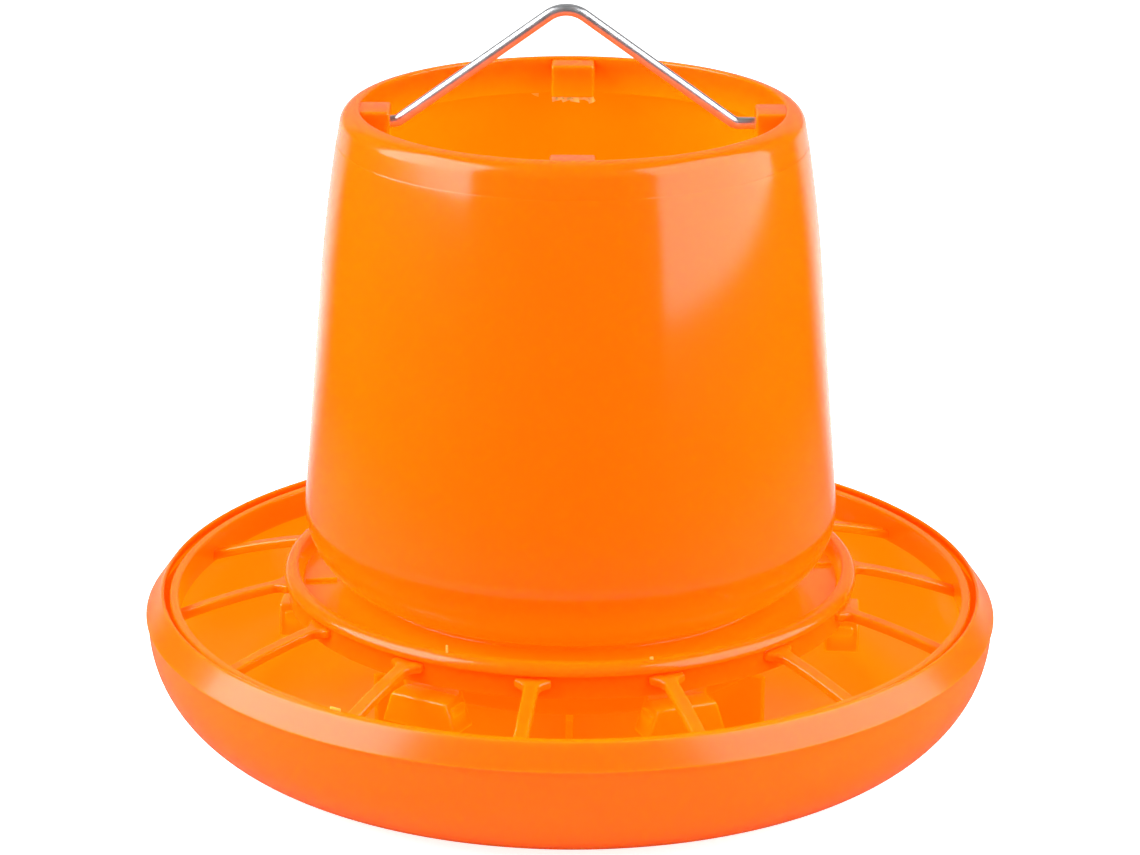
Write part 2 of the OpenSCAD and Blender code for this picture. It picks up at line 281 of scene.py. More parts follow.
def combined(bm: BMesh, tool: BMesh, operation: str) -> BMesh:
    """Two solids made one by a Boolean.

    Args:
        bm: The first solid, which is freed.
        tool: The second solid, which is freed; it may overlap itself.
        operation: UNION to weld them, DIFFERENCE to take the second out.

    Returns:
        The result.
    """
    body = linked("body", mesh_of("body", bm))
    cutter = linked("tool", mesh_of("tool", tool))
    modifier = body.modifiers.new("combine", "BOOLEAN")
    modifier.operation = operation
    modifier.solver = "EXACT"
    modifier.use_self = True
    modifier.object = cutter
    graph = bpy.context.evaluated_depsgraph_get()
    out = bmesh.new()
    out.from_mesh(body.evaluated_get(graph).data)
    for obj in (body, cutter):
        mesh = obj.data
        bpy.data.objects.remove(obj)
        bpy.data.meshes.remove(mesh)
    return out


class Tube:
    """A round wire that is drawn along its own middle line by its end face."""

    def __init__(self, at: Point, thickness: float) -> None:
        """Starts the wire with its end facing along +X.

        Args:
            at: The middle of its first end, in millimetres.
            thickness: The wire's diameter in millimetres.
        """
        self.bm = bmesh.new()
        bmesh.ops.create_circle(
            self.bm, cap_ends=True, radius=thickness / 2 * MM, segments=28
        )
        bmesh.ops.rotate(
            self.bm, verts=self.bm.verts, matrix=Matrix.Rotation(math.pi / 2, 3, "Y")
        )
        bmesh.ops.translate(self.bm, verts=self.bm.verts, vec=Vector(at) * MM)
        self.end = self.bm.faces[:]
        self.start = self.end[0]
        self.heading = Vector((1, 0, 0))
        self.at = Vector(at)

    def straight(self, length: float, cuts: int = 1) -> None:
        """Draws a straight length in millimetres, in that many stretches."""
        for _ in range(cuts):
            out = bmesh.ops.extrude_face_region(self.bm, geom=self.end)
            step = self.heading * (length / cuts)
            bmesh.ops.translate(self.bm, verts=verts_of(out["geom"]), vec=step * MM)
            self.end = faces_of(out["geom"])
            self.at = self.at + step

    def turn(self, radius: float, degrees: float, steps: int) -> None:
        """Bends upwards in the plane of X and Z, or downwards if degrees is negative.

        Args:
            radius: Radius of the wire's middle line in millimetres.
            degrees: The angle turned.
            steps: Number of steps in the bend.
        """
        side = 1 if degrees > 0 else -1
        up = Vector((-self.heading.z, 0, self.heading.x)) * side
        centre = self.at + up * radius
        turn = Matrix.Rotation(-math.radians(degrees), 3, "Y")
        old = self.end
        out = bmesh.ops.spin(
            self.bm,
            geom=old,
            cent=centre * MM,
            axis=(0, -1, 0),
            angle=math.radians(degrees),
            steps=steps,
            use_duplicate=False,
        )
        self.end = faces_of(out["geom_last"])
        inside = [f for f in old if f.is_valid and f is not self.start]
        if inside:
            bmesh.ops.delete(self.bm, geom=inside, context="FACES_ONLY")
        self.at = centre + turn @ (self.at - centre)
        self.heading = (turn @ self.heading).normalized()


def make_piece(
    name: str, bm: BMesh, material: Material, body: Body
) -> bpy.types.Object:
    """Makes a finished piece of a mesh.

    Args:
        name: The piece's name.
        bm: Its mesh, which is freed.
        material: Its material.
        body: The CAD body that it rides on.

    Returns:
        The object, at the origin.
    """
    mesh = mesh_of(name, bm)
    mesh.shade_smooth()
    mesh.set_sharp_from_angle(angle=SMOOTH_ANGLE)
    mesh.materials.append(material)
    obj = linked(name, mesh)
    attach(obj, body.value)
    LOG.info("%s: %d faces on %s", name, len(mesh.polygons), body.value)
    return obj


# Finishes


def new_material(name: str) -> tuple[Material, Node]:
    """A new material and its shader."""
    material = bpy.data.materials.new(name)
    material.use_nodes = True
    return material, material.node_tree.nodes["Principled BSDF"]


@dataclass(frozen=True)
class PlasticFinish:
    """Glossy moulded plastic that light comes through, with painted light (a lighter
    colour and a glow) on its inner and hidden faces.

    Args:
        name: The material's name.
        colour: Its colour on the outside, linear.
        inside: A lighter, yellower colour painted on faces that look inwards or up,
            standing in for the light that comes through the walls, linear.
        glow: A painted glow, emitted on those faces, for that same light, linear.
        top: Height in metres at which the painted inside light ends.
        shaded: Height in metres under which all faces get the painted light, which
            lifts the shade between the pieces.
        core: Radius in metres within which all faces get the painted light.
        roughness: Roughness of the polished surface.
    """

    name: str
    colour: Colour
    inside: Colour
    glow: Colour
    top: float
    shaded: float = NOWHERE
    core: float = NOWHERE
    roughness: float = 0.12

    def build(self) -> Material:
        """Builds the material."""
        material, shader = new_material(self.name)
        tree = material.node_tree
        place = tree.nodes.new("ShaderNodeTexCoord")
        group = tree.nodes.new("ShaderNodeGroup")
        group.node_tree = moulded_surface()
        fill(
            tree,
            group,
            {
                "Place": place.outputs["Object"],
                "Facing": place.outputs["Normal"],
                "Colour": (*self.colour, 1),
                "Painted Light Colour": (*self.inside, 1),
                "Glow": (*self.glow, 1),
                "Top": self.top,
                "Shaded": self.shaded,
                "Core": self.core,
                "Roughness": self.roughness,
            },
        )
        fill(
            tree,
            shader,
            {
                # The base colour and the emission carry the painted light: a lighter
                # colour and a glow on inner and hidden faces.
                "Base Color": group.outputs["Colour"],
                "Roughness": group.outputs["Roughness"],
                "IOR": 1.5,
                "Specular IOR Level": 0.4,
                "Subsurface Weight": 1.0,
                "Subsurface Radius": (1.0, 0.55, 0.1),
                "Subsurface Scale": 0.01,
                "Emission Color": group.outputs["Glow"],
                "Emission Strength": 1.0,
                "Normal": bumped(tree, group.outputs["Height"], 0.3, 0.0003),
            },
        )
        return material


def new_group(name: str, inputs: dict[str, str], outputs: dict[str, str]) -> NodeTree:
    """An empty shader node group with its sockets.

    Args:
        name: The group's name.
        inputs: The kind of each input.
        outputs: The kind of each output.

    Returns:
        The group, with its input and output nodes.
    """
    tree = bpy.data.node_groups.new(name, "ShaderNodeTree")
    for way, sockets in (("INPUT", inputs), ("OUTPUT", outputs)):
        for label, kind in sockets.items():
            tree.interface.new_socket(label, in_out=way, socket_type="NodeSocket" + kind)
    tree.nodes.new("NodeGroupInput")
    tree.nodes.new("NodeGroupOutput")
    return tree


def fill(tree: NodeTree, node: Node, values: dict[str | int, Input]) -> None:
    """Links a node's inputs to other sockets, or sets their values."""
    for key, value in values.items():
        if isinstance(value, NodeSocket):
            tree.links.new(value, node.inputs[key])
        else:
            node.inputs[key].default_value = value


def math_of(tree: NodeTree, operation: str, *values: Input) -> NodeSocket:
    """The result of a Math node on sockets and numbers."""
    node = tree.nodes.new("ShaderNodeMath")
    node.operation = operation
    fill(tree, node, dict(enumerate(values)))
    return node.outputs[0]


def vector_of(tree: NodeTree, operation: str, *values: Input) -> Node:
    """A Vector Math node on sockets and vectors."""
    node = tree.nodes.new("ShaderNodeVectorMath")
    node.operation = operation
    fill(tree, node, dict(enumerate(values)))
    return node


def mix_of(
    tree: NodeTree, factor: NodeSocket, first: Input, second: Input, kind: str = "FLOAT"
) -> NodeSocket:
    """A mix of the first value, where the factor is 0, and the second, at 1."""
    node = tree.nodes.new("ShaderNodeMix")
    node.data_type = kind
    fill(tree, node, {"Factor": factor, "A": first, "B": second})
    return node.outputs["Result"]


def bumped(
    tree: NodeTree, height: NodeSocket, strength: float, distance: float
) -> NodeSocket:
    """The normal of a surface that a height makes uneven."""
    node = tree.nodes.new("ShaderNodeBump")
    fill(tree, node, {"Strength": strength, "Distance": distance, "Height": height})
    return node.outputs["Normal"]


def ramp(
    tree: NodeTree, value: NodeSocket, start: float, end: float, level: float = 1.0
) -> NodeSocket:
    """A mask that rises smoothly from 0 at the start to its level at the end."""
    node = tree.nodes.new("ShaderNodeMapRange")
    node.interpolation_type = "SMOOTHSTEP"
    edge = {"From Min": start, "From Max": end, "To Max": level}
    fill(tree, node, {"Value": value, **edge})
    return node.outputs["Result"]


def below(tree: NodeTree, height: NodeSocket, limit: NodeSocket) -> NodeSocket:
    """A mask of what lies below a height or within a radius, with a soft edge."""
    half_edge = 0.006
    return ramp(tree, math_of(tree, "SUBTRACT", height, limit), half_edge, -half_edge)


def noise(tree: NodeTree, place: NodeSocket, scale: float, detail: float) -> NodeSocket:
    """Noise from 0 to 1 over a place."""
    node = tree.nodes.new("ShaderNodeTexNoise")
    fill(tree, node, {"Vector": place, "Scale": scale, "Detail": detail})
    return node.outputs["Fac"]


def moulded_surface() -> NodeTree:
    """The group that every moulded piece uses, built once.

    Its colour and its glow are painted light: a face that looks inwards rather
    than away from the axis, or that lies hidden between the pieces in their
    shade, gets a lighter, yellower colour and an emitted glow. Its roughness
    varies, and its height has the faint waviness of a moulded wall.
    """
    name = "moulded_surface"
    if name in bpy.data.node_groups:
        return bpy.data.node_groups[name]
    tree = new_group(
        name,
        {
            "Place": "Vector",
            "Facing": "Vector",
            "Colour": "Color",
            "Painted Light Colour": "Color",
            "Glow": "Color",
            "Top": "Float",
            "Shaded": "Float",
            "Core": "Float",
            "Roughness": "Float",
        },
        {"Colour": "Color", "Glow": "Color", "Roughness": "Float", "Height": "Float"},
    )
    nodes, links = tree.nodes, tree.links
    given, put = nodes["Group Input"].outputs, nodes["Group Output"].inputs
    outward_facing, inward_facing = 0.45, -0.25
    hidden_share = 0.55
    haze_scale, haze_detail, haze_spread = 60, 2, 0.04
    wave_scale, wave_detail = 35, 1

    flat = vector_of(tree, "MULTIPLY", given["Place"], (1, 1, 0)).outputs["Vector"]
    outwards = vector_of(tree, "NORMALIZE", flat).outputs["Vector"]
    facing = vector_of(tree, "DOT_PRODUCT", outwards, given["Facing"]).outputs["Value"]
    radius = vector_of(tree, "LENGTH", flat).outputs["Value"]
    parts = nodes.new("ShaderNodeSeparateXYZ")
    links.new(given["Place"], parts.inputs[0])
    height = parts.outputs["Z"]

    # Painted light mask: inward faces below the top, and at a share the faces low
    # between the pieces or near the axis, where shade falls.
    inside = ramp(tree, facing, outward_facing, inward_facing)
    looking_in = math_of(tree, "MULTIPLY", inside, below(tree, height, given["Top"]))
    shaded = below(tree, height, given["Shaded"])
    core = below(tree, radius, given["Core"])
    hidden = math_of(tree, "MAXIMUM", shaded, core)
    faint = math_of(tree, "MULTIPLY", hidden, hidden_share)
    mask = math_of(tree, "MAXIMUM", looking_in, faint)

    colour = mix_of(tree, mask, given["Colour"], given["Painted Light Colour"], "RGBA")
    glow = vector_of(tree, "SCALE", given["Glow"])
    haze = noise(tree, given["Place"], haze_scale, haze_detail)
    roughness = math_of(tree, "MULTIPLY_ADD", haze, haze_spread, given["Roughness"])
    waves = noise(tree, given["Place"], wave_scale, wave_detail)
    links.new(mask, glow.inputs["Scale"])
    links.new(colour, put["Colour"])
    links.new(glow.outputs["Vector"], put["Glow"])
    links.new(roughness, put["Roughness"])
    links.new(waves, put["Height"])
    return tree


@dataclass(frozen=True)
class WireFinish:
    """Galvanised steel wire: bright, with the fine grain of its zinc."""

    name: str = "galvanised_wire"
    colour: Colour = (0.68, 0.69, 0.71)
    dull: float = 0.86
    bright: float = 1.18
    roughness: float = 0.32
    roughness_range: float = 0.14
    spangle_scale: float = 420.0
    spangle_detail: float = 3.0

    def build(self) -> Material:
        """Builds the material."""
        material, shader = new_material(self.name)
        tree = material.node_tree
        place = tree.nodes.new("ShaderNodeTexCoord").outputs["Object"]
        spangle = noise(tree, place, self.spangle_scale, self.spangle_detail)
        dull, bright = (
            (*[c * tone for c in self.colour], 1) for tone in (self.dull, self.bright)
        )
        smoothest = self.roughness - self.roughness_range / 2
        fill(
            tree,
            shader,
            {
                "Base Color": mix_of(tree, spangle, dull, bright, "RGBA"),
                "Metallic": 0.9,
                "Roughness": math_of(
                    tree, "MULTIPLY_ADD", spangle, self.roughness_range, smoothest
                ),
                "Normal": bumped(tree, spangle, 0.2, 0.0001),
            },
        )
        return material


# The pan


@dataclass
class Pan:
    """The shallow round pan with its collar, its seat and the feed cone."""

    finish: PlasticFinish
    outer_r: float = 127.0
    height: float = 42.0
    corner_r: float = 33.0
    floor: float = 2.4
    collar_step: float = 0.6
    collar_fall: float = 6.7
    collar_edge: float = 0.5
    crest_w: float = 0.7
    seat_z: float = 33.0
    lip_under_z: float = 35.6
    seat_out_r: float = 124.7
    seat_in_r: float = 123.5
    lip_r: float = 121.5
    lip_edge: float = 1.8
    cone_r: float = 50.0
    cone_h: float = 36.0
    cone_tip_r: float = 5.0
    neck_z: float = 24.0
    neck_in_r: float = 59.6
    rib_w: float = 2.2
    rib_in_r: float = 20.0
    rib_out_r: float = 66.0
    rib_clear: float = 0.4
    rib_count: int = 6
    guide_w: float = 4.0
    guide_h: float = 6.0
    steps: int = 320

    def cone_slope(self) -> float:
        """Fall of the cone's side for each millimetre outwards."""
        return (self.cone_h - self.floor) / (self.cone_r - self.cone_tip_r)

    def bowl(self) -> BMesh:
        """The whole bowl, from the cone's tip over the rim to the underside."""
        wall_r = self.outer_r - self.collar_step
        collar_z = self.height - self.collar_fall
        slope = self.cone_slope()
        under = self.floor / math.cos(math.atan(slope))
        hollow_r = self.cone_tip_r + (self.cone_h - under) / slope
        corners = [
            Corner(0, self.cone_h),
            Corner(self.cone_tip_r, self.cone_h, 2.0),
            Corner(self.cone_r, self.floor, 4.0),
            Corner(self.seat_in_r, self.floor, self.seat_z - self.floor - 0.4, 26),
            Corner(self.seat_in_r, self.seat_z, 0.3, 3),
            Corner(self.seat_out_r, self.seat_z, 0.3, 3),
            Corner(self.seat_out_r, self.lip_under_z, 0.3, 3),
            Corner(self.lip_r, self.height - self.lip_edge, 0.4, 3),
            Corner(self.lip_r, self.height, 0.25, 4),
            Corner(self.lip_r + self.crest_w, self.height, 0.9, 6),
            Corner(self.outer_r, collar_z, 0.7, 6),
            Corner(self.outer_r, collar_z - self.collar_edge, 0.2, 3),
            Corner(wall_r, collar_z - self.collar_edge, 0.15, 2),
            Corner(wall_r, 0, self.corner_r, 40),
            Corner(hollow_r, 0, 0.6, 3),
            Corner(self.cone_tip_r, self.cone_h - under, 1.0, 4),
            Corner(0, self.cone_h - under),
        ]
        return Section(corners, closed=False).revolve(self.steps)

    def ribs(self) -> BMesh:
        """The upright ribs that the hopper's neck stands on."""
        guide = self.neck_in_r - self.rib_clear
        slope = self.cone_slope()
        sunk_in = 0.2
        rib = prism(
            [
                (self.cone_r - 1, self.floor - sunk_in),
                (self.rib_out_r, self.floor - sunk_in),
                (self.rib_out_r, self.neck_z),
                (guide, self.neck_z),
                (guide, self.neck_z + self.guide_h),
                (guide - self.guide_w, self.neck_z + self.guide_h),
                (
                    self.rib_in_r,
                    self.floor + slope * (self.cone_r - self.rib_in_r) - 2 * sunk_in,
                ),
            ],
            self.rib_w,
        )
        flat = [e for e in rib.edges if abs(e.verts[0].co.y - e.verts[1].co.y) < LEAST]
        bevel_edges(rib, flat, 0.4, 2)
        pitch = 360 / self.rib_count
        return copies_round_z(rib, [(i + 0.5) * pitch for i in range(self.rib_count)])

    def build(self) -> None:
        """Makes the pan's piece."""
        piece = make_piece(
            "pan_moulding",
            combined(self.bowl(), self.ribs(), "UNION"),
            self.finish.build(),
            Body.BASE,
        )
        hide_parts("pan")


# The grill


@dataclass
class Grill:
    """The spoked grill that keeps the feed in the pan."""

    finish: PlasticFinish
    flash_finish: PlasticFinish
    ring_in_r: float = 81.3
    ring_w: float = 4.3
    ring_top: float = 48.8
    bead_h: float = 3.5
    skirt_t: float = 3.1
    skirt_z: float = 38.3
    band_in_r: float = 117.2
    band_out_r: float = 119.9
    band_top: float = 41.0
    band_foot: float = 32.0
    flange_r: float = 124.3
    flange_z: float = 33.0
    flange_t: float = 2.0
    spoke_count: int = 14
    spoke_turn: float = 5.9
    spoke_w: float = 4.2
    spoke_t: float = 3.0
    spoke_dip: float = 0.25
    spoke_edge: float = 0.9
    spoke_in_z: float = 44.5
    spoke_out_z: float = 35.7
    arch_r: float = 190.0
    flare: float = 3.0
    steps: int = 256

    def inner_ring(self) -> BMesh:
        """The inner ring: a rounded bead over a thinner skirt."""
        out_r = self.ring_in_r + self.ring_w
        skirt_r = self.ring_in_r + self.skirt_t
        bead_z = self.ring_top - self.bead_h
        return Section(
            [
                Corner(self.ring_in_r, self.skirt_z, 0.4, 3),
                Corner(skirt_r, self.skirt_z, 0.4, 3),
                Corner(skirt_r, bead_z, 0.3, 3),
                Corner(out_r, bead_z, 0.35, 3),
                Corner(out_r, self.ring_top, 3.0, 8),
                Corner(self.ring_in_r, self.ring_top, 0.8, 5),
            ]
        ).revolve(self.steps)

    def outer_ring(self) -> BMesh:
        """The outer ring: an upright band on the flange that seats in the pan."""
        return Section(
            [
                Corner(self.band_in_r, self.band_foot, 0.4, 3),
                Corner(self.band_out_r, self.band_foot, 0.4, 3),
                Corner(self.band_out_r, self.flange_z, 0.2, 2),
                Corner(self.flange_r, self.flange_z, 0.3, 3),
                Corner(self.flange_r, self.flange_z + self.flange_t, 0.3, 3),
                Corner(self.band_out_r, self.flange_z + self.flange_t, 0.4, 3),
                Corner(self.band_out_r, self.band_top, 0.7, 5),
                Corner(self.band_in_r, self.band_top, 0.7, 5),
            ]
        ).revolve(self.steps)

    def arch_centre(self) -> tuple[float, float]:
        """Middle (r, z) of the circle that the spokes' crowns lie on."""
        r0, z0 = self.ring_in_r + self.ring_w, self.spoke_in_z
        r1, z1 = self.band_in_r, self.spoke_out_z
        length = math.hypot(r1 - r0, z1 - z0)
        reach = math.sqrt(self.arch_r**2 - length**2 / 4)
        return (
            (r0 + r1) / 2 + reach * (z1 - z0) / length,
            (z0 + z1) / 2 - reach * (r1 - r0) / length,
        )

    def spoke(self) -> BMesh:
        """One arched spoke along +X, with rounded edges and a flared root."""
        centre_r, centre_z = self.arch_centre()
        start_r = self.ring_in_r + self.skirt_t - 0.5
        end_r = self.band_in_r + 0.6
        start_a = math.acos((start_r - centre_r) / self.arch_r)
        end_a = math.acos((end_r - centre_r) / self.arch_r)
        start_z = centre_z + self.arch_r * math.sin(start_a)
        bm = bmesh.new()
        half = self.spoke_w / 2
        outline = [
            (-half, -self.spoke_t),
            (half, -self.spoke_t),
            (half, 0),
            (0, -self.spoke_dip),
            (-half, 0),
        ]
        verts = [
            bm.verts.new((start_r * MM, y * MM, (start_z + z) * MM)) for y, z in outline
        ]
        bm.faces.new(verts)
        bmesh.ops.bevel(
            bm,
            geom=[v for v in verts if abs(v.co.y) > LEAST],
            offset=self.spoke_edge * MM,
            offset_type="OFFSET",
            affect="VERTICES",
            segments=4,
            profile=0.5,
            material=-1,
        )
        bmesh.ops.spin(
            bm,
            geom=bm.faces[:],
            cent=(centre_r * MM, 0, centre_z * MM),
            axis=(0, 1, 0),
            angle=start_a - end_a,
            steps=22,
            use_duplicate=False,
        )
        root_r = self.ring_in_r + self.ring_w
        for vert in bm.verts:
            near = 1 - (math.hypot(vert.co.x, vert.co.y) / MM - root_r) / self.flare
            grow = min(1.0, max(0.0, near)) ** 2
            vert.co.y *= 1 + grow * self.flare / half
        return tidy(bm)

    def flash(self) -> BMesh:
        """The torn ends of flash on the inner ring and on the band."""
        inner = (self.ring_in_r + 1.8, self.ring_top)
        outer = (self.band_in_r + 0.9, self.band_top)
        half_t, sunk_in = 0.15, 0.3
        flakes = []
        for angle, (radius, foot), long, tall in (
            (-114.5, inner, 0.5, 2.2),
            (-74.0, inner, 0.9, 0.8),
            (-123.1, outer, 3.4, 0.8),
        ):
            flake = block((-half_t, -long / 2, -sunk_in), (half_t, long / 2, tall))
            place = Vector((radius, 0, foot)) * MM
            bmesh.ops.translate(flake, verts=flake.verts, vec=place)
            turn = Matrix.Rotation(math.radians(angle), 3, "Z")
            bmesh.ops.rotate(flake, verts=flake.verts, matrix=turn)
            flakes.append(flake)
        return joined(flakes)

    def build(self) -> None:
        """Makes the grill's pieces."""
        pitch = 360 / self.spoke_count
        spokes = copies_round_z(
            self.spoke(), [self.spoke_turn + i * pitch for i in range(self.spoke_count)]
        )
        piece = make_piece(
            "grill_moulding",
            combined(joined([self.inner_ring(), self.outer_ring()]), spokes, "UNION"),
            self.finish.build(),
            Body.BASE,
        )
        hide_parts("grill")
        torn = self.flash_finish.build()
        make_piece("ring_flash", self.flash(), torn, Body.BASE)


# The hopper


@dataclass
class Hopper:
    """The tapered hopper with its rim, lugs, outlet neck, flange and feet."""

    finish: PlasticFinish
    flash_finish: PlasticFinish
    top: float = 188.0
    foot_r: float = 79.0
    bend_r: float = 73.5
    bend_z: float = 136.0
    curve_share: float = 0.92
    wall_top_r: float = 68.3
    wall: float = 2.4
    face_h: float = 9.9
    face_step: float = 0.14
    face_lean: float = 9.5
    edge_r: float = 5.0
    inner_r: float = 61.5
    inner_h: float = 11.2
    shoulder_r: float = 22.5
    shoulder_z: float = 67.5
    arc_share: float = 0.99999
    neck_r: float = 62.0
    neck_z: float = 24.0
    flange_r: float = 80.0
    flange_z: float = 43.8
    flange_t: float = 2.5
    flange_rib_w: float = 1.4
    flange_rib_h: float = 1.0
    flange_rib_in_r: float = 70.0
    flange_rib_angles: tuple[float, ...] = (6, 186)
    lug_w: float = 13.0
    lug_h: float = 10.0
    lug_reach: float = 8.9
    lug_drop: float = 0.7
    hole_d: float = 3.66
    hole_end_r: float = 62.5
    pivot_z: float = 183.1
    foot_out_r: float = 87.5
    foot_leg_r: float = 79.4
    foot_top: float = 34.8
    foot_h: float = 9.0
    foot_w: float = 24.0
    foot_slope: float = 3.0
    foot_wall: float = 2.0
    foot_sharp: float = 0.6
    foot_angles: tuple[float, ...] = (0, 64, 116, 180, 244, 296)
    foot_turn: float = -3.5
    steps: int = 320

    def lean(self) -> float:
        """Lean of the wall from the vertical, which ends tangent to the shoulder."""
        lean = 0.08
        for _ in range(8):
            rise = self.bend_z - self.shoulder_z - self.shoulder_r * math.sin(lean)
            lean = math.atan((self.foot_r - self.bend_r) / rise)
        return lean

    def curve(self, inset: float) -> Corner:
        """The corner that the wall's inward curve under the rim rounds off.

        Args:
            inset: How far in from the outer surface, in millimetres.

        Returns:
            The corner, whose arc ends a little before the next one.
        """
        half = (self.top - self.face_h - self.bend_z) / 2
        lean = self.lean()
        middle_r = self.bend_r - half * math.tan(lean)
        turned = math.atan((middle_r - self.wall_top_r) / half) - lean
        reach = half / math.cos(lean)
        return Corner(
            middle_r - inset / math.cos(lean),
            self.bend_z + half,
            reach / math.tan(turned / 2) * self.curve_share,
            14,
        )

    def shoulder(self, radius: float, neck_r: float) -> tuple[Corner, Corner]:
        """The shoulder's arc for one side of the wall.

        Args:
            radius: The arc's radius in millimetres.
            neck_r: Radius of the neck that the arc runs into.

        Returns:
            The corner where the neck meets the arc, and the corner that the
            arc rounds between there and the wall.
        """
        lean = self.lean()
        centre_r = self.foot_r - self.shoulder_r * math.cos(lean)
        meet = -math.acos((neck_r - centre_r) / radius)
        middle, half = (meet + lean) / 2, (lean - meet) / 2
        reach = radius / math.cos(half)
        return (
            Corner(neck_r, self.shoulder_z + radius * math.sin(meet)),
            Corner(
                centre_r + reach * math.cos(middle),
                self.shoulder_z + reach * math.sin(middle),
                radius * self.arc_share,
                32,
            ),
        )

    def shell(self) -> BMesh:
        """The turned body: neck, flange, shoulder, wall and thick rim."""
        face_r = self.wall_top_r - self.face_step
        step_h = 0.3
        lean = math.radians(self.face_lean)
        crest_r = face_r - (self.face_h - step_h) * math.tan(lean)
        side = self.wall / math.cos(self.lean())
        rim_z = self.top - self.face_h
        band_z = self.top - self.inner_h
        neck_in = self.neck_r - self.wall
        out_meet, out_arc = self.shoulder(self.shoulder_r, self.neck_r)
        in_meet, in_arc = self.shoulder(self.shoulder_r - self.wall, neck_in)
        return Section(
            [
                Corner(neck_in, self.neck_z, 0.6, 3),
                Corner(self.neck_r, self.neck_z, 0.6, 3),
                Corner(self.neck_r, self.flange_z - self.flange_t, 0.5, 3),
                Corner(self.flange_r, self.flange_z - self.flange_t, 0.5, 3),
                Corner(self.flange_r, self.flange_z, 0.5, 4),
                Corner(self.neck_r, self.flange_z, 0.8, 4),
                out_meet,
                out_arc,
                self.curve(0),
                Corner(self.wall_top_r, rim_z, 0.3, 3),
                Corner(face_r, rim_z + step_h, 0.3, 3),
                Corner(crest_r, self.top, self.edge_r, 16),
                Corner(self.inner_r, self.top, 0.7, 5),
                Corner(self.inner_r, band_z, 0.5, 4),
                Corner(self.wall_top_r - side + 0.1, band_z, 0.5, 4),
                self.curve(self.wall),
                in_arc,
                in_meet,
            ]
        ).revolve(self.steps)

    def lug(self, drilled: bool) -> BMesh:
        """One lug on the +X side, with the bail's hole if it is drilled."""
        high = self.top - self.lug_drop
        low_r = self.inner_r - self.lug_reach
        half = self.lug_w / 2
        bm = block((low_r, -half, high - self.lug_h), (self.inner_r + 2, half, high))
        bevel_edges(bm, bm.edges[:], 0.9, 4)
        if not drilled:
            return bm
        depth = self.hole_end_r - low_r + 1
        tool = bmesh.new()
        bmesh.ops.create_cone(
            tool,
            cap_ends=True,
            segments=40,
            radius1=self.hole_d / 2 * MM,
            radius2=self.hole_d / 2 * MM,
            depth=depth * MM,
            matrix=Matrix.Translation(
                Vector((self.hole_end_r - depth / 2, 0, self.pivot_z)) * MM
            )
            @ Matrix.Rotation(math.pi / 2, 4, "Y"),
        )
        return combined(bm, tool, "DIFFERENCE")

    def foot(self) -> BMesh:
        """One foot on the +X side: a leg, and an arch open at its bottom."""
        low = self.foot_top - self.foot_h
        leg_in = self.foot_leg_r - self.foot_wall
        half = self.foot_w / 2
        bm = block((leg_in, -half, low), (self.foot_out_r, half, self.foot_top))
        taper = 1 - 2 * self.foot_slope / self.foot_w
        for vert in bm.verts:
            if vert.co.z > (low + 1) * MM:
                vert.co.y *= taper
            turn = vert.co.y / (self.foot_out_r * MM)
            vert.co.x -= vert.co.x * (1 - math.cos(turn))
        bottom = [f for f in bm.faces if f.normal.z < -0.9]
        bmesh.ops.inset_region(bm, faces=bottom, thickness=self.foot_wall * MM)
        deep = bmesh.ops.extrude_face_region(bm, geom=bottom)
        depth = (self.foot_h - self.foot_wall) * MM
        bmesh.ops.translate(bm, verts=verts_of(deep["geom"]), vec=(0, 0, depth))
        inside = [f for f in bottom if f.is_valid]
        bmesh.ops.delete(bm, geom=inside, context="FACES_ONLY")
        outer = [
            e
            for e in bm.edges
            if e.is_manifold
            and e.calc_face_angle(0) > self.foot_sharp
            and max(v.co.z for v in e.verts) > (low + 1) * MM
        ]
        bevel_edges(bm, outer, 0.8, 4)
        tidy(bm)
        leg = block(
            (leg_in, self.foot_slope - half, low + 1),
            (self.foot_leg_r, half - self.foot_slope, self.flange_z - 1),
        )
        return joined([bm, leg])

    def flange_ribs(self) -> BMesh:
        """Two low ribs across the top of the centring flange."""
        half, tall = self.flange_rib_w / 2, self.flange_rib_h
        rib = block(
            (self.flange_rib_in_r, -half, self.flange_z - tall),
            (self.flange_r - 0.5, half, self.flange_z + tall),
        )
        bevel_edges(rib, rib.edges[:], 0.3, 2)
        return copies_round_z(rib, self.flange_rib_angles)

    def flash(self) -> BMesh:
        """The torn flakes of flash under the back lug and beside it."""
        chance = random.Random(5)
        flakes = []
        edge_r = self.inner_r - self.lug_reach + 0.4
        edge_z = self.top - self.lug_drop - self.lug_h
        to_wall, half_t, sunk_in = 8.2, 0.09, 0.4
        for along in (-11.5, -5.6, -4.1, -2.4, -0.9, 0.7, 2.2, 3.9, 5.4):
            long, tall = chance.uniform(1.2, 2.6), chance.uniform(0.5, 1.5)
            flake = block((-long / 2, -half_t, -tall), (long / 2, half_t, sunk_in))
            for vert in flake.verts:
                if vert.co.z < 0:
                    vert.co.x += chance.uniform(-0.7, 0.7) * MM
                    vert.co.y += chance.uniform(-0.6, 0.3) * MM
            beside_lug = abs(along) > self.lug_w / 2
            radius = edge_r + (to_wall if beside_lug else 0)
            turn = Matrix.Rotation(chance.uniform(-0.5, 0.5), 3, "Y")
            bmesh.ops.rotate(flake, verts=flake.verts, matrix=turn)
            bmesh.ops.translate(
                flake, verts=flake.verts, vec=Vector((along, radius, edge_z)) * MM
            )
            flakes.append(flake)
        return joined(flakes)

